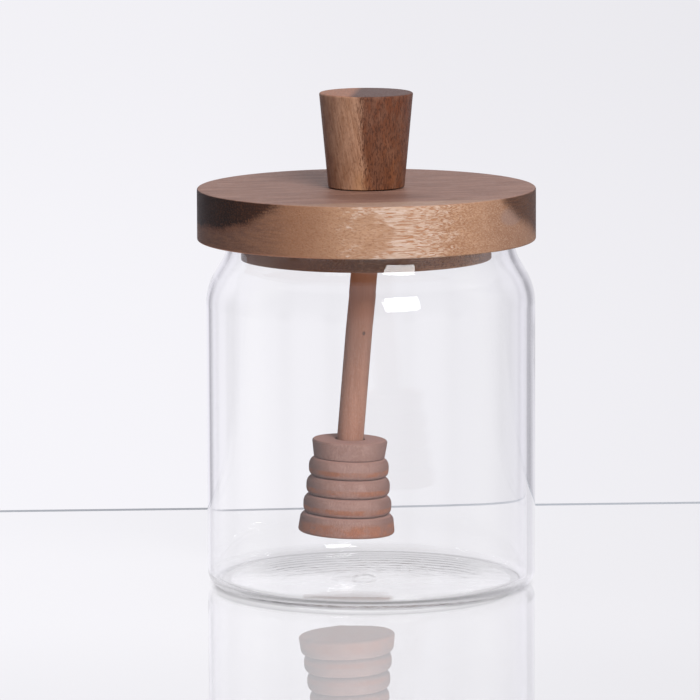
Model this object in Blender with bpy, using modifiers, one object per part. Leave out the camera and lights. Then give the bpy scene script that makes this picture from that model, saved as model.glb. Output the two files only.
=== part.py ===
"""Honey pot: a clear glass jar, a turned wooden lid with a knob, and a dipper fixed under the lid.

A standalone Blender 4.5 script. Units are metres and +Z is up. The origin is on the table, under the
middle of the lid. The jar stands on z = 0, and its own axis lies JAR_OFFSET_X beside the lid's, because
the lid sits a little off centre in the mouth.
"""

import math

import bmesh
import bpy

MM = 0.001
GAP = 0.3 * MM
MERGE_DISTANCE = 0.00001

# Glass jar
JAR_OFFSET_X = 1.2 * MM
JAR_RADIUS = 50.0 * MM
JAR_WALL = 1.8 * MM
JAR_HEEL_RADIUS = 4.3 * MM
JAR_FLOOR_THICKNESS = 1.9 * MM
JAR_FLOOR_FILLET = 2.7 * MM
JAR_FLOOR_DOME = 0.6 * MM
JAR_FOOT_WIDTH = 3.0 * MM
JAR_FOOT_SLOPE = 3.0 * MM
JAR_BASE_RISE = 0.4 * MM
JAR_BASE_MIDDLE = 0.6 * MM
JAR_NECK_RADIUS = 43.5 * MM
JAR_NECK_WALL = 2.2 * MM
SHOULDER_SLOPE_DEG = 31.0
SHOULDER_BODY_BEND = 18.0 * MM
SHOULDER_NECK_BEND = 15.0 * MM
NECK_LEAN_DEG = 11.0
JAR_BEND_STEPS = 4
JAR_HEEL_STEPS = 5
JAR_STEPS = 60

# Lid: a disc, and the plug below it that drops into the neck
LID_RADIUS = 51.4 * MM
LID_UNDERSIDE = 105.8 * MM
LID_THICKNESS = 15.7 * MM
LID_EDGE = 0.5 * MM
LID_EDGE_STEPS = 2
PLUG_RADIUS = 37.9 * MM
PLUG_DEPTH = 5.9 * MM
LID_STEPS = 60

# Knob glued on the lid
KNOB_BASE_RADIUS = 11.6 * MM
KNOB_TOP_RADIUS = 14.2 * MM
KNOB_HEIGHT = 28.6 * MM
KNOB_TOP_EDGE = 0.5 * MM
KNOB_BASE_EDGE = 0.3 * MM
KNOB_TOP_EDGE_STEPS = 3
KNOB_BASE_EDGE_STEPS = 2
KNOB_STEPS = 40

# Dipper: a dowel glued into the plug at a slight angle, and a ribbed head pushed on its lower end
STICK_RADIUS = 4.05 * MM
STICK_TILT_DEG = 4.78
STICK_ROOT_Z = 103.5 * MM
STICK_IN_LID = 6.0 * MM
STICK_EDGE = 0.4 * MM
STICK_EDGE_STEPS = 2
STICK_SIDES = 32
SOCKET_CLEARANCE = GAP
CUTTER_OVERRUN = 3.0 * MM
HEAD_TILT_DEG = 2.4
HEAD_HEIGHT = 28.7 * MM
HEAD_PIVOT_BELOW_TOP = 2.5 * MM
HEAD_PIVOT_ALONG_STICK = 61.7 * MM
BORE_RADIUS = 4.65 * MM
BORE_DEPTH = 8.5 * MM
STICK_SHORT_OF_BORE = 0.5 * MM
HEAD_STEPS = 36

# Dipper head's tiers, from its top down: a collar, three beads and the foot
COLLAR_TOP_RADIUS = 11.45 * MM
COLLAR_LOW_RADIUS = 10.85 * MM
COLLAR_HEIGHT = 5.6 * MM
COLLAR_TOP_EDGE = 0.8 * MM
COLLAR_LOW_EDGE = 0.5 * MM
COLLAR_EDGE_STEPS = 3
BEAD_RADII = (12.2 * MM, 12.75 * MM, 13.45 * MM)
BEAD_HEIGHT = 5.72 * MM
BEAD_SQUARENESS_ABOVE = 2.2
BEAD_SQUARENESS_BELOW = 3.2
BEAD_TOP_DEG = 60
BEAD_STEP_DEG = 30
FOOT_SHOULDER_RADIUS = 14.3 * MM
FOOT_RADIUS = 14.7 * MM
FOOT_SHOULDER_EDGE = 1.9 * MM
FOOT_EDGE = 0.9 * MM
FOOT_SHOULDER_TOP_DEG = 80
FOOT_SHOULDER_STEPS = 3
FOOT_EDGE_STEPS = 2
GROOVE_DEPTH = 2.4 * MM

GLASS = ("clear_glass", (0.93, 0.94, 0.97), 0.03)
LID_WOOD = ("lid_acacia", (0.47, 0.30, 0.19), 0.55)
KNOB_WOOD = ("knob_acacia", (0.36, 0.19, 0.11), 0.50)
STICK_WOOD = ("dipper_dowel", (0.48, 0.27, 0.19), 0.60)
HEAD_WOOD = ("dipper_head_wood", (0.44, 0.27, 0.21), 0.70)


def clear_scene():
    for obj in list(bpy.data.objects):
        bpy.data.objects.remove(obj)


def new_collection(name):
    collection = bpy.data.collections.new(name)
    bpy.context.scene.collection.children.link(collection)
    return collection


def material(name, colour, roughness, transmission=0.0):
    """A Principled material with one colour and no metal."""
    made = bpy.data.materials.new(name)
    made.use_nodes = True
    shader = made.node_tree.nodes["Principled BSDF"]
    shader.inputs["Base Color"].default_value = (*colour, 1.0)
    shader.inputs["Roughness"].default_value = roughness
    shader.inputs["Metallic"].default_value = 0.0
    shader.inputs["Transmission Weight"].default_value = transmission
    return made


def arc(centre, radius, start_deg, end_deg, steps):
    """Points (r, z) along an arc, both ends included; angles turn from +r towards +z."""
    centre_r, centre_z = centre
    points = []
    for i in range(steps + 1):
        angle = math.radians(start_deg + (end_deg - start_deg) * i / steps)
        points.append((centre_r + radius * math.cos(angle), centre_z + radius * math.sin(angle)))
    return points


def turned(name, outline, steps, collection):
    """A solid of revolution about Z. The outline (r, z) leaves the axis, comes down the outer side
    and returns to the axis, so that the faces point out."""
    profile = bmesh.new()
    verts = [profile.verts.new((r, 0.0, z)) for r, z in outline]
    for first, second in zip(verts, verts[1:]):
        profile.edges.new((first, second))
    mesh = bpy.data.meshes.new(name)
    profile.to_mesh(mesh)
    profile.free()
    obj = bpy.data.objects.new(name, mesh)
    collection.objects.link(obj)
    screw = obj.modifiers.new("turn", "SCREW")
    screw.steps = steps
    screw.render_steps = steps
    screw.use_merge_vertices = True
    screw.merge_threshold = MERGE_DISTANCE
    screw.use_smooth_shade = True
    return obj


def rod(name, radius, low, high, collection):
    """A cylinder along its own Z from low to high."""
    bpy.ops.mesh.primitive_cylinder_add(vertices=STICK_SIDES, radius=radius, depth=high - low)
    obj = bpy.context.object
    obj.name = name
    for vert in obj.data.vertices:
        vert.co.z += (low + high) / 2
    for holder in list(obj.users_collection):
        holder.objects.unlink(obj)
    collection.objects.link(obj)
    return obj


def cut(obj, cutter):
    cutter.hide_render = True
    cutter.display_type = "WIRE"
    boolean = obj.modifiers.new("cut " + cutter.name, "BOOLEAN")
    boolean.operation = "DIFFERENCE"
    boolean.object = cutter


def weight_normals(obj):
    """Keeps the flat faces flat beside the small rounded edges."""
    obj.modifiers.new("even shading", "WEIGHTED_NORMAL")


def shoulder(body_radius, body_bend, neck_radius, neck_bend, neck_z):
    """The S-curve of one surface from the body up to the neck at neck_z: an outward bend, a slope, and
    a hollow bend that still leans in at the top."""
    slope = math.radians(SHOULDER_SLOPE_DEG)
    lean = math.radians(NECK_LEAN_DEG)
    body_inward = body_bend * (1 - math.cos(slope))
    neck_inward = neck_bend * (math.cos(lean) - math.cos(slope))
    slope_rise = (body_radius - neck_radius - body_inward - neck_inward) / math.tan(slope)
    neck_rise = neck_bend * (math.sin(slope) - math.sin(lean))
    start_z = neck_z - neck_rise - slope_rise - body_bend * math.sin(slope)

    neck_centre = (neck_radius + neck_bend * math.cos(lean), neck_z + neck_bend * math.sin(lean))
    lower = arc((body_radius - body_bend, start_z), body_bend, 0, SHOULDER_SLOPE_DEG, JAR_BEND_STEPS)
    upper = arc(neck_centre, neck_bend, 180 + SHOULDER_SLOPE_DEG, 180 + NECK_LEAN_DEG, JAR_BEND_STEPS)
    return lower + upper


def jar_outline():
    """Inner floor, inner wall, rim, outer wall, heel and foot."""
    inner_radius = JAR_RADIUS - JAR_WALL
    inner_neck = JAR_NECK_RADIUS - JAR_NECK_WALL
    fillet = JAR_FLOOR_FILLET
    fillet_centre = (inner_radius - fillet, JAR_FLOOR_THICKNESS + fillet)
    heel = JAR_HEEL_RADIUS
    rim_radius = JAR_NECK_WALL / 2
    rim_z = LID_UNDERSIDE - GAP - rim_radius
    foot_inner = JAR_RADIUS - heel - JAR_FOOT_WIDTH

    inner_bends = (SHOULDER_BODY_BEND - JAR_WALL, SHOULDER_NECK_BEND + JAR_NECK_WALL)
    inner_shoulder = shoulder(inner_radius, inner_bends[0], inner_neck, inner_bends[1], rim_z)
    outer_shoulder = shoulder(
        JAR_RADIUS, SHOULDER_BODY_BEND, JAR_NECK_RADIUS, SHOULDER_NECK_BEND, rim_z
    )

    points = [(0.0, JAR_FLOOR_THICKNESS + JAR_FLOOR_DOME)]
    points += arc(fillet_centre, fillet, -90, 0, JAR_BEND_STEPS)
    points += inner_shoulder
    points += arc((inner_neck + rim_radius, rim_z), rim_radius, 180, 0, JAR_BEND_STEPS)[1:-1]
    points += reversed(outer_shoulder)
    points += arc((JAR_RADIUS - heel, heel), heel, 0, -90, JAR_HEEL_STEPS)
    points += [(foot_inner, 0.0), (foot_inner - JAR_FOOT_SLOPE, JAR_BASE_RISE), (0.0, JAR_BASE_MIDDLE)]
    return points


def build_jar(parts):
    jar = turned("glass_jar", jar_outline(), JAR_STEPS, parts)
    jar.location.x = JAR_OFFSET_X
    jar.data.materials.append(material(*GLASS, transmission=1.0))
    return jar


def lid_outline():
    top_z = LID_UNDERSIDE + LID_THICKNESS
    plug_z = LID_UNDERSIDE - PLUG_DEPTH
    edge = LID_EDGE
    points = [(0.0, top_z)]
    points += arc((LID_RADIUS - edge, top_z - edge), edge, 90, 0, LID_EDGE_STEPS)
    points += arc((LID_RADIUS - edge, LID_UNDERSIDE + edge), edge, 0, -90, LID_EDGE_STEPS)
    points += [(PLUG_RADIUS, LID_UNDERSIDE)]
    points += arc((PLUG_RADIUS - edge, plug_z + edge), edge, 0, -90, LID_EDGE_STEPS)
    points += [(0.0, plug_z)]
    return points


def build_lid(parts):
    """Disc and plug turned from one piece of wood."""
    lid = turned("lid", lid_outline(), LID_STEPS, parts)
    lid.data.materials.append(material(*LID_WOOD))
    return lid


def knob_outline():
    lean = math.degrees(math.atan2(KNOB_TOP_RADIUS - KNOB_BASE_RADIUS, KNOB_HEIGHT))
    top_centre = (KNOB_TOP_RADIUS - KNOB_TOP_EDGE, KNOB_HEIGHT - KNOB_TOP_EDGE)
    base_centre = (KNOB_BASE_RADIUS - KNOB_BASE_EDGE, KNOB_BASE_EDGE)
    points = [(0.0, KNOB_HEIGHT)]
    points += arc(top_centre, KNOB_TOP_EDGE, 90, -lean, KNOB_TOP_EDGE_STEPS)
    points += arc(base_centre, KNOB_BASE_EDGE, -lean, -90, KNOB_BASE_EDGE_STEPS)
    points += [(0.0, 0.0)]
    return points


def build_knob(parts):
    knob = turned("knob", knob_outline(), KNOB_STEPS, parts)
    knob.location.z = LID_UNDERSIDE + LID_THICKNESS + GAP
    knob.data.materials.append(material(*KNOB_WOOD))
    return knob


def bead(radius, middle_z):
    """One rib's outer side from its upper groove to its lower one: half a superellipse, rounder above
    the middle and fuller below it."""
    points = []
    for angle_deg in range(BEAD_TOP_DEG, -90 - BEAD_STEP_DEG, -BEAD_STEP_DEG):
        angle = math.radians(angle_deg)
        power = 2 / (BEAD_SQUARENESS_ABOVE if angle_deg > 0 else BEAD_SQUARENESS_BELOW)
        out = math.cos(angle) ** power
        up = math.copysign(abs(math.sin(angle)) ** power, angle)
        points.append((radius - GROOVE_DEPTH * (1 - out), middle_z + up * BEAD_HEIGHT / 2))
    return points


def head_outline():
    """Collar, beads and foot, with z = 0 at the head's pivot."""
    top_z = HEAD_PIVOT_BELOW_TOP
    foot_z = top_z - HEAD_HEIGHT
    collar_z = top_z - COLLAR_HEIGHT
    collar_top_centre = (COLLAR_TOP_RADIUS - COLLAR_TOP_EDGE, top_z - COLLAR_TOP_EDGE)
    collar_low_centre = (COLLAR_LOW_RADIUS - COLLAR_LOW_EDGE, collar_z + COLLAR_LOW_EDGE)
    shoulder_z = collar_z - len(BEAD_RADII) * BEAD_HEIGHT
    shoulder_centre = (FOOT_SHOULDER_RADIUS - FOOT_SHOULDER_EDGE, shoulder_z - FOOT_SHOULDER_EDGE)
    foot_centre = (FOOT_RADIUS - FOOT_EDGE, foot_z + FOOT_EDGE)

    points = [(0.0, top_z)]
    points += arc(collar_top_centre, COLLAR_TOP_EDGE, 90, 0, COLLAR_EDGE_STEPS)
    points += arc(collar_low_centre, COLLAR_LOW_EDGE, 0, -90, 1)
    points += [(BEAD_RADII[0] - GROOVE_DEPTH, collar_z)]
    for i, radius in enumerate(BEAD_RADII):
        points += bead(radius, collar_z - (i + 0.5) * BEAD_HEIGHT)
    points += arc(
        shoulder_centre, FOOT_SHOULDER_EDGE, FOOT_SHOULDER_TOP_DEG, 0, FOOT_SHOULDER_STEPS
    )
    points += arc(foot_centre, FOOT_EDGE, 0, -90, FOOT_EDGE_STEPS)
    points += [(0.0, foot_z)]
    return points


def build_dipper(lid, parts, cutters):
    """The dipper hangs from an empty on the lid's axis, turned to the stick's own tilt."""
    root = bpy.data.objects.new("dipper_root", None)
    root.location.z = STICK_ROOT_Z
    root.rotation_euler.y = math.radians(STICK_TILT_DEG)
    parts.objects.link(root)

    stick_low = -HEAD_PIVOT_ALONG_STICK + HEAD_PIVOT_BELOW_TOP - BORE_DEPTH + STICK_SHORT_OF_BORE
    stick = rod("dipper_stick", STICK_RADIUS, stick_low, STICK_IN_LID, parts)
    stick.parent = root
    rounding = stick.modifiers.new("rounded ends", "BEVEL")
    rounding.width = STICK_EDGE
    rounding.segments = STICK_EDGE_STEPS
    stick.data.shade_smooth()
    weight_normals(stick)
    stick.data.materials.append(material(*STICK_WOOD))

    socket_top = STICK_IN_LID + SOCKET_CLEARANCE
    socket_low = LID_UNDERSIDE - PLUG_DEPTH - STICK_ROOT_Z - CUTTER_OVERRUN
    socket = rod("socket_cutter", STICK_RADIUS + SOCKET_CLEARANCE, socket_low, socket_top, cutters)
    socket.parent = root
    cut(lid, socket)

    head = turned("dipper_head", head_outline(), HEAD_STEPS, parts)
    head.parent = root
    head.location.z = -HEAD_PIVOT_ALONG_STICK
    head.rotation_euler.y = math.radians(HEAD_TILT_DEG - STICK_TILT_DEG)
    head.data.materials.append(material(*HEAD_WOOD))

    bore_low = HEAD_PIVOT_BELOW_TOP - BORE_DEPTH
    bore_top = HEAD_PIVOT_BELOW_TOP + CUTTER_OVERRUN
    bore = rod("bore_cutter", BORE_RADIUS, bore_low, bore_top, cutters)
    bore.parent = head
    cut(head, bore)
    weight_normals(head)


def build():
    clear_scene()
    parts = new_collection("honey_pot")
    cutters = new_collection("cutters")
    build_jar(parts)
    lid = build_lid(parts)
    build_knob(parts)
    build_dipper(lid, parts, cutters)
    weight_normals(lid)


build()
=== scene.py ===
"""The looks of the honey pot: clear glass, oiled acacia lid and knob, and a bare wooden dipper.

Every shape repeats its CAD outline with finer steps. The glass alone departs from it by up to 0.55 mm: its
inside is shifted to the left, its neck leans less, and its base rises more slowly. Units are metres, +Z is
up, and the origin is on the table under the middle of the lid. Inside materials, places and sizes are in
millimetres and colours are linear.
"""

import math

import bmesh
import bpy
from mathutils import Matrix, Vector


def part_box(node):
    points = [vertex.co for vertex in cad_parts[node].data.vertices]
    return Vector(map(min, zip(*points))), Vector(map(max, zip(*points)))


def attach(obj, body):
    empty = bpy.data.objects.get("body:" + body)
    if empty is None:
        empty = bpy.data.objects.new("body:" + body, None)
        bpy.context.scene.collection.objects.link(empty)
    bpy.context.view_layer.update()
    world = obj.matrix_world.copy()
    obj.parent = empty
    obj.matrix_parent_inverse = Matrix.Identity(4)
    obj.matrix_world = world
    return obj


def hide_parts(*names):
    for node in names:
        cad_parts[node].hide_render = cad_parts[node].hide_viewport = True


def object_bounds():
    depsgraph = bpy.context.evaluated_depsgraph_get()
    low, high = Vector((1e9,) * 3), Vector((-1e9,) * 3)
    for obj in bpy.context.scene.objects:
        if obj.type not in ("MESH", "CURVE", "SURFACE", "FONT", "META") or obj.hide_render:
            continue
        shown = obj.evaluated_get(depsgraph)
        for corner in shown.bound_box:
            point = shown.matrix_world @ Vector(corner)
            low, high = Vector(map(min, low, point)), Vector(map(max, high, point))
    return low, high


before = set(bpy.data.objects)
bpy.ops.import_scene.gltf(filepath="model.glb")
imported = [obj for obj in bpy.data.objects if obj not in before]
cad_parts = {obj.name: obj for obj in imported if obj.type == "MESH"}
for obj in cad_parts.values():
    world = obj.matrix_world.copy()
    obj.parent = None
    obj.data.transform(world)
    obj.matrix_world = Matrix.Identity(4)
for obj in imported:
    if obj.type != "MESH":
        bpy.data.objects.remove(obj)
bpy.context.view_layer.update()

MM = 0.001
ON_AXIS = 1e-9
SMOOTH_ANGLE = math.radians(35)

# Camera, fitted to the photo's ellipses
CAMERA_HEIGHT = 348.5 * MM
CAMERA_DISTANCE = 1975.6 * MM
CAMERA_PITCH_DEG = 7.976
CAMERA_YAW_DEG = -0.149
CAMERA_ROLL_DEG = -0.206
CAMERA_LENS = 337.3
CAMERA_CLIP_END = 20.0
SENSOR_WIDTH = 36.0
MAX_BOUNCES = 48

# Glass jar
JAR_OFFSET_X = 1.2 * MM
JAR_RADIUS = 50.0 * MM
JAR_WALL = 1.8 * MM
JAR_HEEL_RADIUS = 4.3 * MM
JAR_FLOOR_THICKNESS = 1.9 * MM
JAR_FLOOR_FILLET = 2.7 * MM
JAR_FLOOR_DOME = 0.6 * MM
JAR_FOOT_WIDTH = 3.0 * MM
JAR_FOOT_SLOPE = 12.0 * MM
JAR_BASE_RISE = 0.4 * MM
JAR_BASE_MIDDLE = 0.6 * MM
JAR_NECK_RADIUS = 43.6 * MM
JAR_NECK_WALL = 2.2 * MM
SHOULDER_SLOPE_DEG = 31.0
SHOULDER_BODY_BEND = 18.0 * MM
SHOULDER_NECK_BEND = 15.0 * MM
NECK_LEAN_DEG = 8.0
RIM_BELOW_LID = 0.3 * MM
JAR_BEND_STEPS = 24
JAR_STEPS = 256
JAR_INSIDE_SHIFT = -0.5 * MM
JAR_SHIFT_FADE = 22 * MM
GLASS_IOR = 1.474
GLASS_BUMP = 0.012 * MM
WAVES_PER_MM = 0.06
RIPPLES_PER_MM = 0.11
RIPPLES_FADE_MM = (9.0, 4.0)
RIPPLE_HEIGHT = 4.0
PONTIL_HEIGHT = 16.0
PONTIL_HOLLOW = -1.3
INSIDE_FLOOR_MM = (1.2, 1.7)

# Lid
LID_GRAIN_DEG = 11.0
HEART_START_MM = -41.0
HEART_FALL_MM = 9.5
HEART_LOW_MM = 6.0
HEART_RISE_MM = 11.5
PLUG_DEPTH = 5.9 * MM
PLUG_RADIUS = 37.9 * MM
LID_EDGE = 0.5 * MM
LID_EDGE_STEPS = 8
LID_STEPS = 256
LID_LONGEST_FACE = 4 * MM

# Knob
KNOB_BASE_RADIUS = 11.6 * MM
KNOB_TOP_EDGE = 0.5 * MM
KNOB_BASE_EDGE = 0.3 * MM
KNOB_TOP_EDGE_STEPS = 12
KNOB_BASE_EDGE_STEPS = 6
KNOB_STEPS = 128

# Dipper
STICK_RADIUS = 4.05 * MM
STICK_TILT_DEG = 4.78
STICK_ROOT_Z = 103.5 * MM
STICK_IN_LID = 6.0 * MM
STICK_EDGE = 0.4 * MM
STICK_EDGE_STEPS = 6
STICK_STEPS = 64
SOCKET_CLEARANCE = 0.3 * MM
SOCKET_OVERRUN = 3.0 * MM
HEAD_TILT_DEG = 2.4
HEAD_HEIGHT = 28.7 * MM
HEAD_PIVOT_BELOW_TOP = 2.5 * MM
HEAD_PIVOT_ALONG_STICK = 61.7 * MM
BORE_RADIUS = 4.65 * MM
BORE_DEPTH = 8.5 * MM
STICK_SHORT_OF_BORE = 0.5 * MM
COLLAR_TOP_RADIUS = 11.45 * MM
COLLAR_LOW_RADIUS = 10.85 * MM
COLLAR_HEIGHT = 5.6 * MM
COLLAR_TOP_EDGE = 0.8 * MM
COLLAR_TOP_EDGE_STEPS = 10
COLLAR_LOW_EDGE = 0.5 * MM
COLLAR_LOW_EDGE_STEPS = 6
BEAD_RADII = (12.2 * MM, 12.75 * MM, 13.45 * MM)
BEAD_HEIGHT = 5.72 * MM
BEAD_SQUARENESS_ABOVE = 2.2
BEAD_SQUARENESS_BELOW = 3.2
BEAD_STEPS = 18
FOOT_SHOULDER_RADIUS = 14.3 * MM
FOOT_RADIUS = 14.7 * MM
FOOT_SHOULDER_EDGE = 1.9 * MM
FOOT_SHOULDER_START_DEG = 80
FOOT_SHOULDER_STEPS = 12
FOOT_EDGE = 0.9 * MM
FOOT_EDGE_STEPS = 8
GROOVE_DEPTH = 2.4 * MM
HEAD_STEPS = 160

# Woods; faces whose normal has a z between these two turn from side to top
TOP_FACING = (0.55, 0.9)
WOOD_SPECULAR = 0.3
ACACIA_BUMP = 0.04 * MM
BARE_WOOD_BUMP = 0.03 * MM
STICK_ROUGHNESS = 0.6
HEAD_ROUGHNESS = 0.75


def arc(centre, radius, start_deg, end_deg, steps):
    """Points (r, z) along an arc, both ends included; angles turn from +r towards +z."""
    points = []
    for i in range(steps + 1):
        angle = math.radians(start_deg + (end_deg - start_deg) * i / steps)
        points.append((centre[0] + radius * math.cos(angle), centre[1] + radius * math.sin(angle)))
    return points


def subdivided(points, longest):
    """The same outline with no stretch longer than the given length."""
    made = [points[0]]
    for (r0, z0), (r1, z1) in zip(points, points[1:]):
        count = max(1, math.ceil(math.hypot(r1 - r0, z1 - z0) / longest))
        made += [(r0 + (r1 - r0) * i / count, z0 + (z1 - z0) * i / count) for i in range(1, count + 1)]
    return made


def lathe(name, outline, steps):
    """A solid of revolution about Z from an outline (r, z) that runs from the axis to the axis."""
    mesh = bmesh.new()
    rings = []
    for r, z in outline:
        if r < ON_AXIS:
            rings.append([mesh.verts.new((0.0, 0.0, z))])
            continue
        angles = (2 * math.pi * i / steps for i in range(steps))
        rings.append([mesh.verts.new((r * math.cos(a), r * math.sin(a), z)) for a in angles])
    for upper, lower in zip(rings, rings[1:]):
        for i in range(steps):
            j = (i + 1) % steps
            from_upper, to_upper = upper[i % len(upper)], upper[j % len(upper)]
            from_lower, to_lower = lower[i % len(lower)], lower[j % len(lower)]
            mesh.faces.new(list(dict.fromkeys((from_upper, from_lower, to_lower, to_upper))))
    bmesh.ops.recalc_face_normals(mesh, faces=mesh.faces)
    data = bpy.data.meshes.new(name)
    mesh.to_mesh(data)
    mesh.free()
    data.shade_smooth()
    data.set_sharp_from_angle(angle=SMOOTH_ANGLE)
    obj = bpy.data.objects.new(name, data)
    bpy.context.scene.collection.objects.link(obj)
    return obj


def carry(obj, node, material):
    obj.data.materials.append(material)
    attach(obj, "root")
    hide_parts(node)
    return obj


class Nodes:
    """A node tree built with short calls. Sockets and numbers mix freely."""

    def __init__(self, tree):
        self.tree = tree

    def put(self, socket, value):
        if isinstance(value, bpy.types.NodeSocket):
            self.tree.links.new(value, socket)
        elif value is not None:
            socket.default_value = value

    def node(self, kind, **settings):
        made = self.tree.nodes.new(kind)
        for key, value in settings.items():
            setattr(made, key, value)
        return made

    def math(self, operation, a, b=None, c=None):
        made = self.node("ShaderNodeMath", operation=operation)
        for socket, value in zip(made.inputs, (a, b, c)):
            self.put(socket, value)
        return made.outputs[0]

    def add(self, *values):
        total = values[0]
        for value in values[1:]:
            total = self.math("ADD", total, value)
        return total

    def times(self, a, b):
        return self.math("MULTIPLY", a, b)

    def split(self, vector):
        made = self.node("ShaderNodeSeparateXYZ")
        self.put(made.inputs[0], vector)
        return made.outputs[0], made.outputs[1], made.outputs[2]

    def vector(self, x, y, z):
        made = self.node("ShaderNodeCombineXYZ")
        for socket, value in zip(made.inputs, (x, y, z)):
            self.put(socket, value)
        return made.outputs[0]

    def noise(self, x, y, z, detail=3.0, roughness=0.55):
        """Noise from about 0 to 1, with a cell of one unit of x, y and z."""
        made = self.node("ShaderNodeTexNoise")
        self.put(made.inputs["Vector"], self.vector(x, y, z))
        made.inputs["Scale"].default_value = 1.0
        made.inputs["Detail"].default_value = detail
        made.inputs["Roughness"].default_value = roughness
        return made.outputs[0]

    def span(self, value, low, high, to_low=0.0, to_high=1.0):
        """A smooth step from to_low at low to to_high at high."""
        made = self.node("ShaderNodeMapRange", interpolation_type="SMOOTHSTEP")
        for socket, number in zip(made.inputs, (value, low, high, to_low, to_high)):
            self.put(socket, number)
        return made.outputs[0]

    def curve(self, value, stops):
        """A value read from a smooth curve through (place, level) stops; both run from 0 to 1."""
        made = self.node("ShaderNodeFloatCurve")
        points = made.mapping.curves[0].points
        points[0].location, points[1].location = stops[0], stops[-1]
        for place, level in stops[1:-1]:
            points.new(place, level)
        made.mapping.update()
        self.put(made.inputs["Value"], value)
        return made.outputs[0]

    def mix(self, factor, first, second):
        """Colours: first at factor 0, second at factor 1."""
        made = self.node("ShaderNodeMix", data_type="RGBA")
        self.put(made.inputs[0], factor)
        for socket, value in ((made.inputs[6], first), (made.inputs[7], second)):
            self.put(socket, (*value, 1.0) if isinstance(value, tuple) else value)
        return made.outputs[2]

    def over(self, base, mask, strength, tone):
        """The base colour, with the tone laid over it at the given strength where the mask is 1."""
        return self.mix(self.times(mask, strength), base, tone)

    def blend(self, factor, first, second):
        """Numbers: first at factor 0, second at factor 1."""
        rise = self.math("SUBTRACT", second, first)
        return self.math("MULTIPLY_ADD", factor, rise, first)


class Shader(Nodes):
    """One material on a Principled shader."""

    def __init__(self, name):
        self.material = bpy.data.materials.new(name)
        self.material.use_nodes = True
        super().__init__(self.material.node_tree)
        self.principled = self.tree.nodes["Principled BSDF"]

    def position(self):
        """Object coordinates x, y and z in millimetres."""
        coordinates = self.node("ShaderNodeTexCoord")
        return tuple(self.times(axis, 1 / MM) for axis in self.split(coordinates.outputs["Object"]))

    def facing(self):
        """The surface's own normal as x, y and z."""
        return self.split(self.node("ShaderNodeNewGeometry").outputs["True Normal"])

    def grain(self, place, cell, low, high, detail=3.0, roughness=0.55, seed=0.0):
        """A smooth 0 to 1 figure with cells of the given millimetres along place's three axes. The
        third size may be left out and is then the second."""
        sizes = (*cell, cell[-1])[:3]
        first, second, third = (self.times(axis, 1 / size) for axis, size in zip(place, sizes))
        figure = self.noise(self.add(first, seed), second, third, detail, roughness)
        return self.span(figure, low, high)

    def ellipse(self, a, b, centre, radii):
        """1 at the centre of an ellipse in the plane of a and b, 0 on its edge, negative outside."""
        away = [
            self.math("POWER", self.times(self.add(axis, -middle), 1 / radius), 2.0)
            for axis, middle, radius in zip((a, b), centre, radii)
        ]
        return self.math("SUBTRACT", 1.0, self.add(*away))

    def bump(self, height, distance):
        made = self.node("ShaderNodeBump")
        made.inputs["Distance"].default_value = distance
        self.put(made.inputs["Height"], height)
        self.put(self.principled.inputs["Normal"], made.outputs[0])

    def fix(self, values):
        """Sets the Principled sockets themselves, by their names."""
        for name, value in values.items():
            self.principled.inputs[name].default_value = value

    def finish(self, colour, roughness):
        """The common end of every wood."""
        self.put(self.principled.inputs["Base Color"], colour)
        self.put(self.principled.inputs["Roughness"], roughness)
        self.fix({"Specular IOR Level": WOOD_SPECULAR})
        return self.material


def glass_material():
    """Clear blown glass: faint waves, stronger ripples low down, and a pontil mark on the floor."""
    shader = Shader("clear_glass")
    x, y, z = shader.position()
    waves = shader.noise(*(shader.times(axis, WAVES_PER_MM) for axis in (x, y, z)), detail=1.0)
    low = shader.span(z, *RIPPLES_FADE_MM)
    ripples = shader.noise(*(shader.times(axis, RIPPLES_PER_MM) for axis in (x, y, z)), detail=2.0)
    mark = shader.span(shader.ellipse(x, y, (-5.0, -6.0), (8.0, 11.0)), 0.0, 1.0)
    inner_mark = shader.span(shader.ellipse(x, y, (-2.0, -5.0), (4.0, 6.0)), 0.0, 1.0)
    inside_floor = shader.span(z, *INSIDE_FLOOR_MM)
    pontil = shader.times(shader.add(mark, shader.times(inner_mark, PONTIL_HOLLOW)), inside_floor)
    base = shader.add(shader.times(ripples, RIPPLE_HEIGHT), shader.times(pontil, PONTIL_HEIGHT))
    shader.bump(shader.add(waves, shader.times(low, base)), GLASS_BUMP)
    shader.fix({
        "Base Color": (1.0, 1.0, 1.0, 1.0), "Transmission Weight": 1.0, "IOR": GLASS_IOR, "Roughness": 0.0,
    })
    return shader.material


def shoulder(body_radius, body_bend, neck_radius, neck_bend, neck_z):
    """The S-curve of one surface from the body up to the neck at neck_z."""
    slope = math.radians(SHOULDER_SLOPE_DEG)
    lean = math.radians(NECK_LEAN_DEG)
    body_inward = body_bend * (1 - math.cos(slope))
    neck_inward = neck_bend * (math.cos(lean) - math.cos(slope))
    slope_rise = (body_radius - neck_radius - body_inward - neck_inward) / math.tan(slope)
    neck_rise = neck_bend * (math.sin(slope) - math.sin(lean))
    start_z = neck_z - neck_rise - slope_rise - body_bend * math.sin(slope)

    neck_centre = (neck_radius + neck_bend * math.cos(lean), neck_z + neck_bend * math.sin(lean))
    lower = arc((body_radius - body_bend, start_z), body_bend, 0, SHOULDER_SLOPE_DEG, JAR_BEND_STEPS)
    upper = arc(neck_centre, neck_bend, 180 + SHOULDER_SLOPE_DEG, 180 + NECK_LEAN_DEG, JAR_BEND_STEPS)
    return lower + upper


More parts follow.
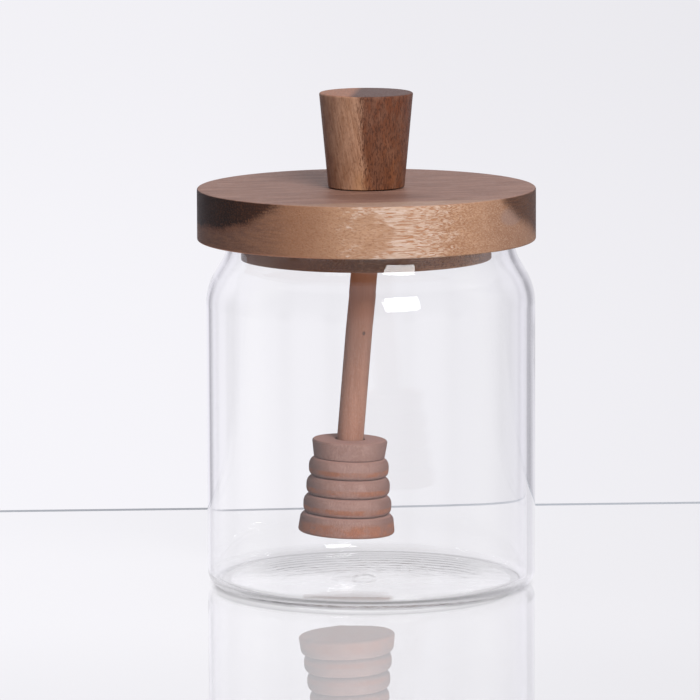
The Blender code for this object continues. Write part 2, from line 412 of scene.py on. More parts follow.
def jar_outline(lid_underside):
    """Inner floor, inner wall, rim, outer wall, heel and foot."""
    inner_radius = JAR_RADIUS - JAR_WALL
    inner_neck = JAR_NECK_RADIUS - JAR_NECK_WALL
    fillet = JAR_FLOOR_FILLET
    fillet_centre = (inner_radius - fillet, JAR_FLOOR_THICKNESS + fillet)
    heel = JAR_HEEL_RADIUS
    rim_radius = JAR_NECK_WALL / 2
    rim_z = lid_underside - RIM_BELOW_LID - rim_radius
    foot_inner = JAR_RADIUS - heel - JAR_FOOT_WIDTH

    inner_bends = (SHOULDER_BODY_BEND - JAR_WALL, SHOULDER_NECK_BEND + JAR_NECK_WALL)
    inner_shoulder = shoulder(inner_radius, inner_bends[0], inner_neck, inner_bends[1], rim_z)
    outer_shoulder = shoulder(
        JAR_RADIUS, SHOULDER_BODY_BEND, JAR_NECK_RADIUS, SHOULDER_NECK_BEND, rim_z
    )

    inside = [(0.0, JAR_FLOOR_THICKNESS + JAR_FLOOR_DOME)]
    inside += arc(fillet_centre, fillet, -90, 0, JAR_BEND_STEPS)
    inside += inner_shoulder
    inside += arc((inner_neck + rim_radius, rim_z), rim_radius, 180, 0, JAR_BEND_STEPS)[1:-1]
    outside = list(reversed(outer_shoulder))
    outside += arc((JAR_RADIUS - heel, heel), heel, 0, -90, JAR_BEND_STEPS)
    outside += [(foot_inner, 0.0), (foot_inner - JAR_FOOT_SLOPE, JAR_BASE_RISE), (0.0, JAR_BASE_MIDDLE)]
    return inside, outside


def build_jar():
    """The blown wall is thicker on the right: below the neck the inside is shifted to the left."""
    lid_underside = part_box("lid")[0].z + PLUG_DEPTH
    inside, outside = jar_outline(lid_underside)
    jar = lathe("jar_glass_piece", inside + outside, JAR_STEPS)
    for vert in jar.data.vertices[: 1 + (len(inside) - 1) * JAR_STEPS]:
        share = min(1.0, max(0.0, (lid_underside - vert.co.z) / JAR_SHIFT_FADE))
        vert.co.x += JAR_INSIDE_SHIFT * share
    jar.location.x = JAR_OFFSET_X
    jar.visible_shadow = False
    jar.visible_diffuse = False
    return carry(jar, "glass_jar", glass_material())


def lid_wood(underside_mm):
    """Acacia with its grain nearly along X. Sapwood in front and below, honey-coloured, with a painted
    highlight across the middle of the front, and dark heartwood above a surface that starts at the front
    of the top and falls away. The top's colour carries painted sheen over its streaks and painted shade in
    front of the knob, and a small greyish patch on the right of the side is a painted reflection."""
    shader = Shader("lid_wood")
    x, y, z = shader.position()
    turn = math.radians(LID_GRAIN_DEG)
    along = shader.add(shader.times(x, math.cos(turn)), shader.times(y, math.sin(turn)))
    across = shader.add(shader.times(x, -math.sin(turn)), shader.times(y, math.cos(turn)))
    height = shader.math("SUBTRACT", z, underside_mm)
    place = (along, across, height)

    dashes = shader.grain(place, (4.2, 0.32), 0.51, 0.57, detail=2.0, seed=11.0)
    bands = shader.grain(place, (15.0, 6.0, 1.2), 0.40, 0.60, detail=2.0, seed=61.0)
    glints = shader.grain(place, (2.6, 0.40), 0.52, 0.60, detail=2.0, seed=41.0)
    specks = shader.grain(place, (1.1, 0.50), 0.52, 0.59, detail=2.0, seed=17.0)
    layers = shader.grain(place, (9.0, 5.0, 0.40), 0.40, 0.62, detail=3.0, seed=5.0)
    streaks = shader.grain(place, (18.0, 2.0), 0.38, 0.62, seed=7.0)
    lines = shader.grain(place, (11.0, 0.6), 0.40, 0.60, detail=2.0, seed=29.0)
    fibre = shader.grain(place, (1.6, 0.40), 0.36, 0.64, detail=4.0, roughness=0.7)
    clouds = shader.grain(place, (7.0, 2.6), 0.38, 0.62, seed=2.0)
    ragged = shader.grain(place, (4.0, 1.1), 0.30, 0.70, seed=23.0)

    sapwood = shader.mix(shader.span(x, -40.0, -20.0), (0.160, 0.075, 0.050), (0.265, 0.124, 0.066))
    sapwood = shader.mix(shader.span(x, -22.0, -3.0), sapwood, (0.410, 0.232, 0.136))
    sapwood = shader.mix(shader.span(x, 28.0, 44.0), sapwood, (0.280, 0.148, 0.088))
    sapwood = shader.over(sapwood, clouds, 0.30, (0.235, 0.108, 0.056))
    sapwood = shader.over(sapwood, specks, 0.42, (0.225, 0.092, 0.042))
    sapwood = shader.over(sapwood, fibre, 0.22, (0.40, 0.235, 0.160))
    umber = shader.span(x, -19.0, -34.0)
    sapwood = shader.over(sapwood, shader.times(layers, umber), 0.42, (0.098, 0.046, 0.036))

    # Painted glints: pale dashes of lit fibres across the sapwood, stronger towards the right.
    painted_glint_dashes = shader.times(glints, shader.span(x, -12.0, 8.0, 0.05, 0.32))
    sapwood = shader.mix(painted_glint_dashes, sapwood, (0.530, 0.350, 0.250))

    # Painted highlight: a cream zone across the middle of the front, ragged at its ends, broken by a
    # golden island and by the bands, with the wood's own dashes drawn through it.
    edge = shader.math("MULTIPLY_ADD", ragged, 9.0, x)
    painted_highlight = shader.times(shader.span(edge, -3.0, 5.0), shader.span(edge, 33.0, 22.0))
    uneven = shader.math("MULTIPLY_ADD", clouds, 0.9, -0.45)
    island = shader.add(shader.ellipse(x, height, (1.0, 7.0), (6.5, 6.0)), uneven)
    painted_highlight = shader.times(painted_highlight, shader.span(island, 0.70, -0.45))
    painted_highlight = shader.times(painted_highlight, shader.blend(bands, 0.75, 1.0))
    highlight_tone = shader.mix(clouds, (0.510, 0.370, 0.288), (0.475, 0.315, 0.225))
    highlight_tone = shader.over(highlight_tone, glints, 0.55, (0.60, 0.47, 0.40))
    highlight_tone = shader.over(highlight_tone, dashes, 0.85, (0.330, 0.140, 0.060))
    sapwood = shader.mix(painted_highlight, sapwood, highlight_tone)
    right_part = shader.times(shader.span(x, 18.0, 24.0), shader.span(x, 40.0, 28.0))
    right_dashes = shader.times(dashes, right_part)
    sapwood = shader.over(sapwood, right_dashes, 0.50, (0.235, 0.098, 0.044))
    # Painted reflection: a small greyish patch on the right of the side.
    painted_reflection_patch = shader.span(shader.ellipse(x, height, (43.5, 10.0), (4.2, 3.4)), 0.0, 0.7)
    sapwood = shader.over(sapwood, painted_reflection_patch, 0.50, (0.27, 0.180, 0.152))

    behind = shader.math("SUBTRACT", across, HEART_START_MM)
    falling = shader.math("EXPONENT", shader.times(behind, -1 / HEART_FALL_MM))
    extra_fall = shader.times(shader.times(behind, shader.span(x, 0.0, 40.0)), -0.2)
    wobble = shader.grain(place, (18.0, 9.0), 0.25, 0.75, seed=3.0)
    wobble = shader.math("MULTIPLY_ADD", wobble, 1.6, -0.8)
    soft = shader.math("MULTIPLY_ADD", specks, 0.9, shader.times(fibre, 0.9))
    lower_left = shader.span(x, -29.0, -36.0, 0.0, -1.1)
    fall = shader.times(falling, HEART_RISE_MM)
    heart_from = shader.add(HEART_LOW_MM, fall, extra_fall, lower_left, wobble, soft)
    depth = shader.math("SUBTRACT", height, heart_from)
    fade = shader.span(x, -40.0, -30.0, 0.9, 2.6)
    heart = shader.span(shader.math("DIVIDE", depth, fade), -1.0, 0.9)
    fringe = shader.times(shader.span(depth, -2.4, -0.4), shader.span(x, -30.0, -38.0))
    dark = shader.mix(shader.span(x, -42.0, -31.0), (0.024, 0.009, 0.006), (0.052, 0.018, 0.009))
    dark = shader.mix(shader.span(x, 0.0, 44.0), dark, (0.100, 0.043, 0.022))
    dark = shader.over(dark, specks, 0.55, (0.105, 0.038, 0.016))
    dark = shader.over(dark, layers, 0.35, (0.012, 0.006, 0.005))
    sapwood = shader.over(sapwood, fringe, 0.5, (0.120, 0.040, 0.020))
    side = shader.mix(heart, sapwood, dark)

    plug_tone = shader.mix(shader.span(x, 5.0, 28.0), (0.165, 0.062, 0.026), (0.400, 0.190, 0.095))
    plug_tone = shader.over(plug_tone, dashes, 0.22, (0.50, 0.28, 0.15))
    plug_tone = shader.over(plug_tone, specks, 0.55, (0.10, 0.038, 0.016))
    plug_tone = shader.over(plug_tone, layers, 0.30, (0.14, 0.065, 0.038))
    lit_edge = shader.times(shader.span(height, 0.55, 0.2), shader.span(x, 0.0, -20.0))
    side = shader.over(side, lit_edge, 0.8, (0.46, 0.20, 0.115))
    side = shader.mix(shader.span(height, -0.3, -0.5), side, plug_tone)

    # The top is much lighter than the heartwood under it: the wood's own streaks, lightened by painted
    # sheen.
    top = shader.mix(streaks, (0.235, 0.120, 0.086), (0.345, 0.190, 0.140))
    top = shader.over(top, lines, 0.40, (0.180, 0.090, 0.064))
    top = shader.over(top, specks, 0.22, (0.42, 0.25, 0.19))
    margin = shader.span(shader.math("MULTIPLY_ADD", ragged, 1.6, behind), 0.8, 3.2)
    margin_tone = shader.mix(0.25, shader.mix(0.5, sapwood, (0.42, 0.27, 0.20)), top)
    top = shader.mix(margin, margin_tone, top)
    # Painted shade and painted reflection of the knob: a dark patch on the top in front of it.
    painted_knob_shade = shader.span(shader.ellipse(x, y, (3.0, -25.0), (24.0, 10.0)), 0.0, 0.9)
    top = shader.over(top, painted_knob_shade, 0.65, (0.165, 0.080, 0.056))
    colour = shader.mix(shader.span(shader.facing()[2], *TOP_FACING), side, top)

    relief = shader.add(shader.times(fibre, 0.5), shader.times(dashes, -0.8), shader.times(specks, -0.5))
    shader.bump(relief, ACACIA_BUMP)
    return shader.finish(colour, shader.blend(fibre, 0.46, 0.56))


def knob_wood(low_mm):
    """Grain up the knob: tan on the left, red-brown heartwood right of a nearly flat boundary."""
    shader = Shader("knob_wood")
    x, y, z = shader.position()
    height = shader.math("SUBTRACT", z, low_mm)
    leaning = (height, shader.math("MULTIPLY_ADD", height, 0.20, x), y)
    upright = (height, x, y)

    streaks = shader.grain(leaning, (11.0, 0.75), 0.40, 0.60)
    broad = shader.grain(leaning, (26.0, 2.6), 0.38, 0.62, seed=2.0)
    fibre = shader.grain(upright, (2.2, 0.40), 0.36, 0.64, detail=4.0, roughness=0.7, seed=8.0)
    pores = shader.grain(upright, (1.5, 0.40), 0.53, 0.61, detail=2.0, seed=13.0)
    long_pores = shader.grain(upright, (3.4, 0.42), 0.54, 0.60, detail=2.0, seed=37.0)
    blotches = shader.grain(upright, (5.0, 2.2), 0.40, 0.60, seed=19.0)

    tan = shader.mix(shader.span(x, -11.5, -6.0), (0.245, 0.122, 0.080), (0.400, 0.212, 0.128))
    tan = shader.over(tan, broad, 0.40, (0.40, 0.235, 0.160))
    tan = shader.over(tan, streaks, 0.50, (0.225, 0.098, 0.048))
    tan = shader.over(tan, pores, 0.35, (0.15, 0.065, 0.032))
    tan = shader.over(tan, blotches, 0.30, (0.460, 0.265, 0.175))
    glow = shader.times(shader.span(height, 10.0, 1.0), shader.span(x, -6.0, -1.5))
    tan = shader.over(tan, glow, 0.55, (0.46, 0.235, 0.110))
    red = shader.mix(shader.span(height, 26.0, 6.0), (0.134, 0.040, 0.016), (0.184, 0.065, 0.028))
    red = shader.over(red, blotches, 0.45, (0.190, 0.092, 0.058))
    red = shader.over(red, broad, 0.45, (0.088, 0.028, 0.013))
    red = shader.over(red, long_pores, 0.40, (0.055, 0.018, 0.009))
    red = shader.over(red, pores, 0.60, (0.045, 0.015, 0.008))

    boundary = shader.math("MULTIPLY_ADD", height, -0.055, -0.9)
    wobble = shader.grain(upright, (9.0, 2.0), 0.3, 0.7, seed=5.0)
    wobble = shader.math("MULTIPLY_ADD", wobble, 1.2, -0.6)
    crumble = shader.math("MULTIPLY_ADD", pores, -0.8, shader.times(fibre, 1.2))
    past = shader.math("SUBTRACT", x, shader.add(boundary, wobble, crumble))
    heart = shader.span(past, -2.0, 1.5)
    colour = shader.mix(heart, tan, red)

    top_line = shader.math("MULTIPLY_ADD", y, 0.10, -3.4)
    top_heart = shader.span(shader.math("SUBTRACT", x, top_line), -1.6, 1.6)
    top_cells = shader.grain((y, x, z), (3.0, 0.8), 0.38, 0.62)
    top = shader.mix(top_heart, (0.390, 0.170, 0.098), (0.105, 0.050, 0.039))
    top = shader.over(top, top_cells, 0.30, (0.16, 0.08, 0.055))
    colour = shader.mix(shader.span(shader.facing()[2], *TOP_FACING), colour, top)

    shader.bump(shader.add(shader.times(fibre, 0.5), shader.times(pores, -1.0)), ACACIA_BUMP)
    return shader.finish(colour, shader.blend(fibre, 0.45, 0.55))


def stick_wood():
    """A bare dowel: smooth, pinkish brown, with a faint grain along it, one small knot, and painted light
    on its upper part.
    """
    shader = Shader("stick_wood")
    x, y, z = shader.position()
    place = (z, shader.math("MULTIPLY_ADD", z, 0.05, x), y)
    fibre = shader.grain(place, (3.0, 0.40), 0.34, 0.66, detail=4.0, roughness=0.65)
    broad = shader.grain(place, (22.0, 1.9), 0.38, 0.62, detail=2.0)
    colour = shader.mix(broad, (0.310, 0.138, 0.084), (0.360, 0.170, 0.110))
    colour = shader.over(colour, fibre, 0.45, (0.235, 0.105, 0.066))
    flecks = shader.grain(place, (0.8, 0.36), 0.52, 0.64, detail=2.0, seed=51.0)
    colour = shader.over(colour, flecks, 0.30, (0.450, 0.255, 0.190))
    # Painted light: the upper part, towards the lid, is lighter and redder.
    colour = shader.mix(shader.span(z, -34.0, -8.0, 0.0, 0.75), colour, (0.500, 0.180, 0.082))
    knot = shader.span(shader.ellipse(x, z, (1.5, -26.1), (0.55, 0.75)), 0.0, 0.6)
    knot = shader.times(knot, shader.span(y, 0.5, -0.5))
    colour = shader.over(colour, knot, 0.8, (0.085, 0.035, 0.022))
    shader.bump(fibre, BARE_WOOD_BUMP)
    return shader.finish(colour, STICK_ROUGHNESS)


def head_wood():
    """Bare turned wood, greyish pink, with a burnished orange band low on each rib, painted shade down
    both sides and painted light on the faces turned up.
    """
    shader = Shader("head_wood")
    x, y, z = shader.position()
    fibre = shader.grain((z, x, y), (1.6, 0.42), 0.34, 0.66, detail=4.0, roughness=0.65)
    clouds = shader.grain((z, x, y), (4.0, 3.2), 0.38, 0.62)
    patchy = shader.grain((z, x, y), (3.0, 5.0), 0.36, 0.60, seed=31.0)
    colour = shader.mix(clouds, (0.268, 0.148, 0.118), (0.312, 0.184, 0.152))
    colour = shader.over(colour, fibre, 0.50, (0.220, 0.112, 0.086))
    flecks = shader.grain((z, x, y), (0.7, 0.36), 0.52, 0.64, detail=2.0, seed=53.0)
    colour = shader.over(colour, flecks, 0.35, (0.400, 0.255, 0.215))

    # Painted shade: darker towards both sides, as the head is seen from the front.
    colour = shader.mix(shader.span(x, -4.0, -12.5), colour, (0.165, 0.090, 0.072))
    colour = shader.mix(shader.span(x, 4.0, 13.0), colour, (0.190, 0.100, 0.080))
    # Painted light: faces turned up are lighter.
    colour = shader.mix(shader.span(shader.facing()[2], 0.7, 0.95), colour, (0.335, 0.185, 0.152))

    from_collar = shader.math("SUBTRACT", (HEAD_PIVOT_BELOW_TOP - COLLAR_HEIGHT) / MM, z)
    in_rib = shader.math("FRACT", shader.times(from_collar, MM / BEAD_HEIGHT))
    beads_end = len(BEAD_RADII) * BEAD_HEIGHT / MM
    below_collar = shader.span(from_collar, -0.1, 0.1)
    on_beads = shader.times(below_collar, shader.span(from_collar, beads_end, beads_end - 0.2))
    band = shader.times(shader.span(in_rib, 0.48, 0.62), shader.span(in_rib, 0.88, 0.74))
    foot = shader.span(from_collar, beads_end + 1.2, beads_end + 3.0)
    smear = shader.math("MAXIMUM", shader.times(band, on_beads), foot)
    smear = shader.times(smear, shader.span(patchy, 0.0, 1.0, 0.35, 1.0))
    burnt = shader.mix(fibre, (0.315, 0.118, 0.062), (0.235, 0.092, 0.052))
    colour = shader.mix(smear, colour, burnt)
    shader.bump(fibre, BARE_WOOD_BUMP)
    return shader.finish(colour, HEAD_ROUGHNESS)


def lid_outline(low, high):
    """Disc and plug, from the middle of the top to the middle of the plug's underside."""
    underside = low.z + PLUG_DEPTH
    edge = LID_EDGE
    radius = high.x
    points = [(0.0, high.z)]
    points += arc((radius - edge, high.z - edge), edge, 90, 0, LID_EDGE_STEPS)
    points += arc((radius - edge, underside + edge), edge, 0, -90, LID_EDGE_STEPS)
    points += [(PLUG_RADIUS, underside)]
    points += arc((PLUG_RADIUS - edge, low.z + edge), edge, 0, -90, LID_EDGE_STEPS)
    points += [(0.0, low.z)]
    return points


def dipper_matrix():
    """The stick's own frame: its Z runs up the stick, from the root in the lid."""
    tilt = Matrix.Rotation(math.radians(STICK_TILT_DEG), 4, "Y")
    return Matrix.Translation((0, 0, STICK_ROOT_Z)) @ tilt


def bored(obj, matrix, radius, low, high):
    """Cuts a round hole along the matrix's own Z and keeps the result as the mesh."""
    cutter = lathe("cutter", [(0.0, high), (radius, high), (radius, low), (0.0, low)], STICK_STEPS)
    cutter.matrix_world = matrix
    cut = obj.modifiers.new("cut", "BOOLEAN")
    cut.object = cutter
    cut.operation = "DIFFERENCE"
    bpy.context.view_layer.update()
    whole = bpy.data.meshes.new_from_object(obj.evaluated_get(bpy.context.evaluated_depsgraph_get()))
    obj.modifiers.clear()
    obj.data = whole
    obj.data.set_sharp_from_angle(angle=SMOOTH_ANGLE)
    bpy.data.objects.remove(cutter)


def build_lid():
    low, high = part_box("lid")
    lid = lathe("lid_piece", subdivided(lid_outline(low, high), LID_LONGEST_FACE), LID_STEPS)
    bored(
        lid, dipper_matrix(), STICK_RADIUS + SOCKET_CLEARANCE,
        low.z - STICK_ROOT_Z - SOCKET_OVERRUN, STICK_IN_LID + SOCKET_CLEARANCE,
    )
    return carry(lid, "lid", lid_wood((low.z + PLUG_DEPTH) / MM))


def build_knob():
    low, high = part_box("knob")
    lean = math.degrees(math.atan2(high.x - KNOB_BASE_RADIUS, high.z - low.z))
    top_centre = (high.x - KNOB_TOP_EDGE, high.z - KNOB_TOP_EDGE)
    base_centre = (KNOB_BASE_RADIUS - KNOB_BASE_EDGE, low.z + KNOB_BASE_EDGE)
    points = [(0.0, high.z)]
    points += arc(top_centre, KNOB_TOP_EDGE, 90, -lean, KNOB_TOP_EDGE_STEPS)
    points += arc(base_centre, KNOB_BASE_EDGE, -lean, -90, KNOB_BASE_EDGE_STEPS)
    points += [(0.0, low.z)]
    knob = lathe("knob_piece", points, KNOB_STEPS)
    return carry(knob, "knob", knob_wood(low.z / MM))


def build_stick():
    low_z = -HEAD_PIVOT_ALONG_STICK + HEAD_PIVOT_BELOW_TOP - BORE_DEPTH + STICK_SHORT_OF_BORE
    edge = STICK_EDGE
    points = [(0.0, STICK_IN_LID)]
    points += arc((STICK_RADIUS - edge, STICK_IN_LID - edge), edge, 90, 0, STICK_EDGE_STEPS)
    points += arc((STICK_RADIUS - edge, low_z + edge), edge, 0, -90, STICK_EDGE_STEPS)
    points += [(0.0, low_z)]
    stick = lathe("dipper_stick_piece", points, STICK_STEPS)
    stick.matrix_world = dipper_matrix()
    return carry(stick, "dipper_stick", stick_wood())


def bead(radius, middle_z):
    """One rib's outer side from its upper groove to its lower one: half a superellipse, rounder above
    the middle and fuller below it."""
    points = []
    for i in range(1, BEAD_STEPS + 1):
        angle = math.pi / 2 - math.pi * i / BEAD_STEPS
        power = 2 / (BEAD_SQUARENESS_ABOVE if angle > 0 else BEAD_SQUARENESS_BELOW)
        out = abs(math.cos(angle)) ** power
        up = math.copysign(abs(math.sin(angle)) ** power, angle)
        points.append((radius - GROOVE_DEPTH * (1 - out), middle_z + up * BEAD_HEIGHT / 2))
    return points


def head_outline():
    """Bore, collar, beads and foot, with z = 0 at the head's pivot."""
    top_z = HEAD_PIVOT_BELOW_TOP
    foot_z = top_z - HEAD_HEIGHT
    collar_z = top_z - COLLAR_HEIGHT
    collar_top_centre = (COLLAR_TOP_RADIUS - COLLAR_TOP_EDGE, top_z - COLLAR_TOP_EDGE)
    collar_low_centre = (COLLAR_LOW_RADIUS - COLLAR_LOW_EDGE, collar_z + COLLAR_LOW_EDGE)
    shoulder_z = collar_z - len(BEAD_RADII) * BEAD_HEIGHT
    shoulder_centre = (FOOT_SHOULDER_RADIUS - FOOT_SHOULDER_EDGE, shoulder_z - FOOT_SHOULDER_EDGE)
    foot_centre = (FOOT_RADIUS - FOOT_EDGE, foot_z + FOOT_EDGE)

    points = [(0.0, top_z - BORE_DEPTH), (BORE_RADIUS, top_z - BORE_DEPTH), (BORE_RADIUS, top_z)]
    points += arc(collar_top_centre, COLLAR_TOP_EDGE, 90, 0, COLLAR_TOP_EDGE_STEPS)
    points += arc(collar_low_centre, COLLAR_LOW_EDGE, 0, -90, COLLAR_LOW_EDGE_STEPS)
    points += [(BEAD_RADII[0] - GROOVE_DEPTH, collar_z)]
    for i, radius in enumerate(BEAD_RADII):
        points += bead(radius, collar_z - (i + 0.5) * BEAD_HEIGHT)
    points += arc(shoulder_centre, FOOT_SHOULDER_EDGE, FOOT_SHOULDER_START_DEG, 0, FOOT_SHOULDER_STEPS)
    points += arc(foot_centre, FOOT_EDGE, 0, -90, FOOT_EDGE_STEPS)
    points += [(0.0, foot_z)]
    return points


def build_head():
    head = lathe("dipper_head_piece", head_outline(), HEAD_STEPS)
    head.matrix_world = (
        dipper_matrix()
        @ Matrix.Translation((0, 0, -HEAD_PIVOT_ALONG_STICK))
        @ Matrix.Rotation(math.radians(HEAD_TILT_DEG - STICK_TILT_DEG), 4, "Y")
    )
    return carry(head, "dipper_head", head_wood())


# Stage
TABLE_BACK_Y = 140 * MM
TABLE_TURN_DEG = 3.2
TABLE_REACH = 3.0
TABLE_THICKNESS = 12 * MM
TABLE_EDGE_WIDTH = 4 * MM
TABLE_EDGE_GAP = 0.1 * MM
TABLE_EDGE_COLOUR = (0.40, 0.44, 0.48, 1.0)
TABLE_COLOUR = (0.26, 0.26, 0.265)
TABLE_SHADED = (0.04, 0.04, 0.04)
# The table's glow falls from left to right and again towards the front, between these places in mm
TABLE_GLOW_ACROSS = (-130.0, 160.0)
TABLE_GLOW_LEFT = 1.09 * 0.375
TABLE_GLOW_RIGHT = 0.85 * 0.375
TABLE_GLOW_FORWARD = (-190.0, -330.0)
TABLE_GLOW_FRONT = 0.84
# The foot's shade is a ring about the jar's axis, with soft edges between these radii in mm
CONTACT_INSIDE = (44.5, 46.5)
CONTACT_OUTSIDE = (50.0, 47.0)
CONTACT_SHADE = 0.55
KEY_DISTANCE = 1.6
# Azimuth to the right of the camera, elevation and angular width in degrees, and radiance
SHARP_KEY = (24.0, 29.5, 22.0, 13.0)
SOFT_KEY = (22.6, 33.0, 28.0, 14.0)


def slab(name, back, front, top, bottom, shader):
    """A box across the stage, turned with the table; back and front are distances from its far edge."""
    mesh = bmesh.new()
    bmesh.ops.create_cube(mesh, size=1.0)
    for vert in mesh.verts:
        vert.co.x *= 2 * TABLE_REACH
        vert.co.y = back if vert.co.y > 0 else front
        vert.co.z = top if vert.co.z > 0 else bottom
    data = bpy.data.meshes.new(name)
    mesh.to_mesh(data)
    mesh.free()
    made = bpy.data.objects.new(name, data)
    bpy.context.scene.collection.objects.link(made)
    made.location.y = TABLE_BACK_Y
    made.rotation_euler.z = math.radians(TABLE_TURN_DEG)
    made.data.materials.append(shader.material)


def build_table():
    """A glossy light table, darker where the jar's foot shades it and a little towards the front, with
    the thin blue-grey line of its far edge."""
    shader = Shader("table_top")
    x, y, _ = shader.position()
    jar_axis = Matrix.Rotation(math.radians(-TABLE_TURN_DEG), 2) @ Vector((JAR_OFFSET_X, -TABLE_BACK_Y))
    away = [shader.add(axis, -at / MM) for axis, at in zip((x, y), jar_axis)]
    squares = [shader.math("POWER", distance, 2.0) for distance in away]
    from_axis = shader.math("SQRT", shader.add(*squares))
    contact = shader.times(
        shader.span(from_axis, *CONTACT_INSIDE), shader.span(from_axis, *CONTACT_OUTSIDE)
    )
    level = shader.math("SUBTRACT", 1.0, shader.times(contact, CONTACT_SHADE))
    glow = shader.times(level, shader.span(x, *TABLE_GLOW_ACROSS, TABLE_GLOW_LEFT, TABLE_GLOW_RIGHT))
    glow = shader.times(glow, shader.span(y, *TABLE_GLOW_FORWARD, 1.0, TABLE_GLOW_FRONT))
    shader.put(shader.principled.inputs["Base Color"], shader.mix(level, TABLE_SHADED, TABLE_COLOUR))
    shader.put(shader.principled.inputs["Emission Strength"], glow)
    shader.fix({
        "Emission Color": (1.0, 0.99, 1.02, 1.0), "Roughness": 0.0, "IOR": 1.5,
        "Coat Weight": 0.6, "Coat Roughness": 0.0,
    })
    shader.material.cycles.emission_sampling = "NONE"
    slab("table", 0.0, -2 * TABLE_REACH, 0.0, -TABLE_THICKNESS, shader)
    edge = Shader("table_edge")
    edge.fix({"Base Color": TABLE_EDGE_COLOUR, "Roughness": 0.3})
    slab("table_edge", TABLE_EDGE_WIDTH, TABLE_EDGE_GAP, 0.0, -TABLE_THICKNESS, edge)


def add_key(name, azimuth_deg, elevation_deg, angle_deg, radiance):
    """A square softbox as seen from the pot."""
    light = bpy.data.lights.new(name, "AREA")
    light.shape = "SQUARE"
    light.size = 2 * KEY_DISTANCE * math.tan(math.radians(angle_deg) / 2)
    light.energy = radiance * math.pi * light.size ** 2
    lamp = bpy.data.objects.new(name, light)
    azimuth = math.radians(azimuth_deg)
    elevation = math.radians(elevation_deg)
    level = math.cos(elevation)
    direction = Vector((math.sin(azimuth) * level, -math.cos(azimuth) * level, math.sin(elevation)))
    lamp.location = direction * KEY_DISTANCE + Vector((0, 0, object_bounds()[1].z / 2))
    lamp.rotation_euler = direction.to_track_quat("Z", "Y").to_euler()
    bpy.context.scene.collection.objects.link(lamp)
    return lamp


def build_key_light():
    """One softbox that shows as highlights, and a broader one that only lights surfaces."""
    sharp = add_key("key_highlight", *SHARP_KEY)
    sharp.visible_diffuse = False
    soft = add_key("key_light", *SOFT_KEY)
    soft.visible_glossy = False
    soft.visible_transmission = False


# How bright the surroundings are against the angle from the nearest of four pale walls, in degrees
WALL_STOPS = (
    (-45, 0.88), (-35, 0.84), (-27, 0.42), (-19, 0.84), (-14, 0.89), (-6, 0.93), (-2, 0.92), (0, 0.89),
    (3, 0.86), (6.4, 0.79), (10.8, 0.74), (19, 0.66), (27, 0.36), (35, 0.76), (45, 0.88),
)
BACKDROP_TINT = (1.0, 0.99, 1.035)
CORNER_TINT = (0.975, 0.958, 1.05)
CORNER_DEG = (5, 16)
# Pairs are where a smooth step starts and ends, along an axis of the unit vector that points at the
# surroundings: z is the sine of the elevation, and the pot's front looks along -y
WALL_FOOT_Z = (-0.14, -0.085)
WALL_FOOT_LEVELS = (1.0, 0.96)
WALL_TOP_Z = (0.02, 0.35)
FRONT_Y = (0.1, -0.3)
FRONT_Z = (0.92, 0.75)
ABOVE_SEEN = 1.0
FRONT_SEEN = 0.60
OVERHEAD_Z = (0.50, 0.85)
OVERHEAD = 0.6
FRONT_TO_BACK_Y = (-0.2, 0.7)
FRONT_TO_BACK_LEVELS = (0.25, 0.70)
SHADE_Z = (0.75, 0.30)
LEFT_X = (-0.25, -0.85)
LEFT_SHADE = 0.85
RIGHT_X = (0.25, 0.85)
RIGHT_SHADE = 0.35


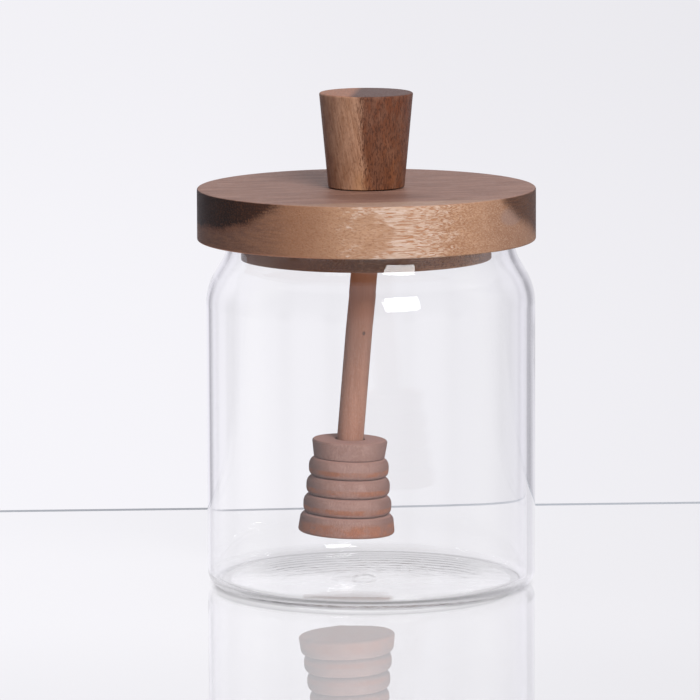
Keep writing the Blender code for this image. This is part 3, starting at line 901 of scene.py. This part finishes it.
def build_world():
    """A light tent with four pale walls. Surfaces are lit by it as if it were dimmer above and at the
    sides; the camera, clear glass and mirror-like reflections see it pale all round."""
    world = bpy.data.worlds.new("studio")
    bpy.context.scene.world = world
    world.use_nodes = True
    world.cycles.sampling_method = "NONE"
    nodes = Nodes(world.node_tree)
    background = world.node_tree.nodes["Background"]
    x, y, z = nodes.split(nodes.node("ShaderNodeTexCoord").outputs["Generated"])
    quarter = math.pi / 2
    from_wall = nodes.math("WRAP", nodes.math("ARCTAN2", x, y), quarter / 2, -quarter / 2)
    share = nodes.math("MULTIPLY_ADD", from_wall, 1 / quarter, 0.5)
    walls = nodes.curve(share, [((degrees + 45) / 90, level) for degrees, level in WALL_STOPS])
    walls = nodes.times(walls, nodes.span(z, *WALL_FOOT_Z, *WALL_FOOT_LEVELS))
    over_wall = nodes.span(z, *WALL_TOP_Z)

    front = nodes.times(nodes.span(y, *FRONT_Y), nodes.span(z, *FRONT_Z))
    seen = nodes.blend(over_wall, walls, nodes.blend(front, ABOVE_SEEN, FRONT_SEEN))
    above = nodes.span(y, *FRONT_TO_BACK_Y, *FRONT_TO_BACK_LEVELS)
    lit = nodes.blend(over_wall, walls, nodes.blend(nodes.span(z, *OVERHEAD_Z), above, OVERHEAD))
    low = nodes.span(z, *SHADE_Z)
    left = nodes.times(nodes.times(nodes.span(x, *LEFT_X), low), LEFT_SHADE)
    right = nodes.times(nodes.times(nodes.span(x, *RIGHT_X), low), RIGHT_SHADE)
    lit = nodes.times(lit, nodes.math("SUBTRACT", 1.0, nodes.add(left, right)))

    path = nodes.node("ShaderNodeLightPath")
    is_sharp = nodes.math("MAXIMUM", path.outputs["Is Camera Ray"], path.outputs["Is Singular Ray"])
    nodes.put(background.inputs["Strength"], nodes.blend(is_sharp, lit, seen))
    corner = nodes.span(nodes.math("ABSOLUTE", from_wall), *(math.radians(angle) for angle in CORNER_DEG))
    nodes.put(background.inputs["Color"], nodes.mix(corner, BACKDROP_TINT, CORNER_TINT))


def build_camera():
    data = bpy.data.cameras.new("camera")
    data.sensor_width = SENSOR_WIDTH
    data.lens = CAMERA_LENS
    data.clip_end = CAMERA_CLIP_END
    camera = bpy.data.objects.new("camera", data)
    camera.matrix_world = (
        Matrix.Translation((0, -CAMERA_DISTANCE, CAMERA_HEIGHT))
        @ Matrix.Rotation(math.radians(-CAMERA_YAW_DEG), 4, "Z")
        @ Matrix.Rotation(math.radians(90 - CAMERA_PITCH_DEG), 4, "X")
        @ Matrix.Rotation(math.radians(CAMERA_ROLL_DEG), 4, "Z")
    )
    bpy.context.scene.collection.objects.link(camera)
    bpy.context.scene.camera = camera


build_camera()
build_world()
build_key_light()
build_table()
build_jar()
build_lid()
build_knob()
build_stick()
build_head()

scene = bpy.context.scene
scene.view_settings.view_transform = "Standard"
scene.cycles.max_bounces = MAX_BOUNCES
scene.cycles.transmission_bounces = MAX_BOUNCES
scene.cycles.glossy_bounces = MAX_BOUNCES
